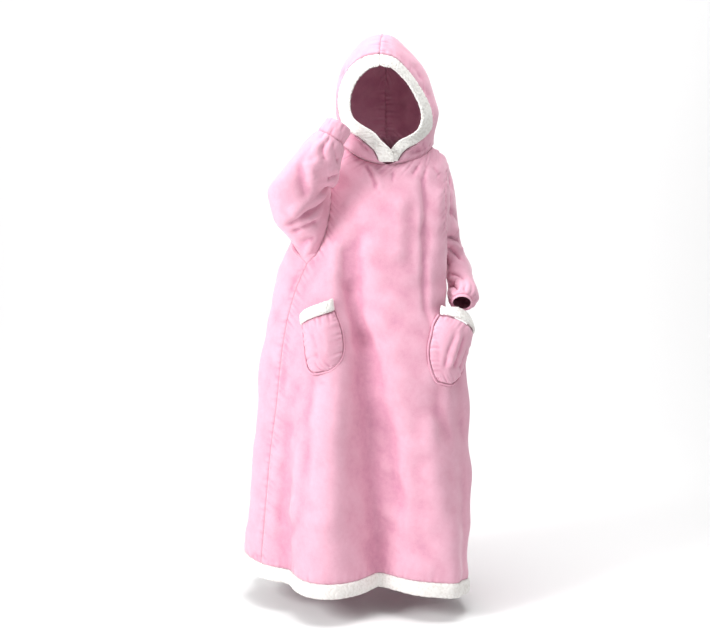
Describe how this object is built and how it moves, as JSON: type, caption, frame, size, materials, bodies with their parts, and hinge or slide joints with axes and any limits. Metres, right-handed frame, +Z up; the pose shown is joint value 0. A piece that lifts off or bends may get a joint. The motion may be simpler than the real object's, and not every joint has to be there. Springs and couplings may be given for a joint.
{
  "type": "wearable blanket hoodie",
  "caption": "Ankle-length plush pullover blanket with a hood, wide gathered sleeves, patch pockets and cream pile bands at hood, pockets and hem, in the hollow form it has when worn.",
  "frame": {"origin": "between the wearer's shoulders, level with the top of the neck seam at the sides", "axes": "+Z up, the wearer faces -Y, the wearer's left is +X"},
  "size_m": [0.7099, 0.5355, 1.6497],
  "materials": {
    "pink_plush": "short soft plush nap",
    "cream_pile": "curly woolly pile"
  },
  "bodies": {
    "root": {"front_panel": "pink_plush", "back_panel": "pink_plush", "sleeve_right": "pink_plush", "sleeve_left": "pink_plush", "cuff_right": "pink_plush", "cuff_left": "pink_plush", "hood_right": "pink_plush", "hood_left": "pink_plush", "pocket_right": "pink_plush", "pocket_left": "pink_plush", "pocket_piping_right": "pink_plush", "pocket_piping_left": "pink_plush", "hood_trim_right": "cream_pile", "hood_trim_left": "cream_pile", "pocket_trim_right": "cream_pile", "pocket_trim_left": "cream_pile", "hem_band": "cream_pile"}
  },
  "joints": []
}
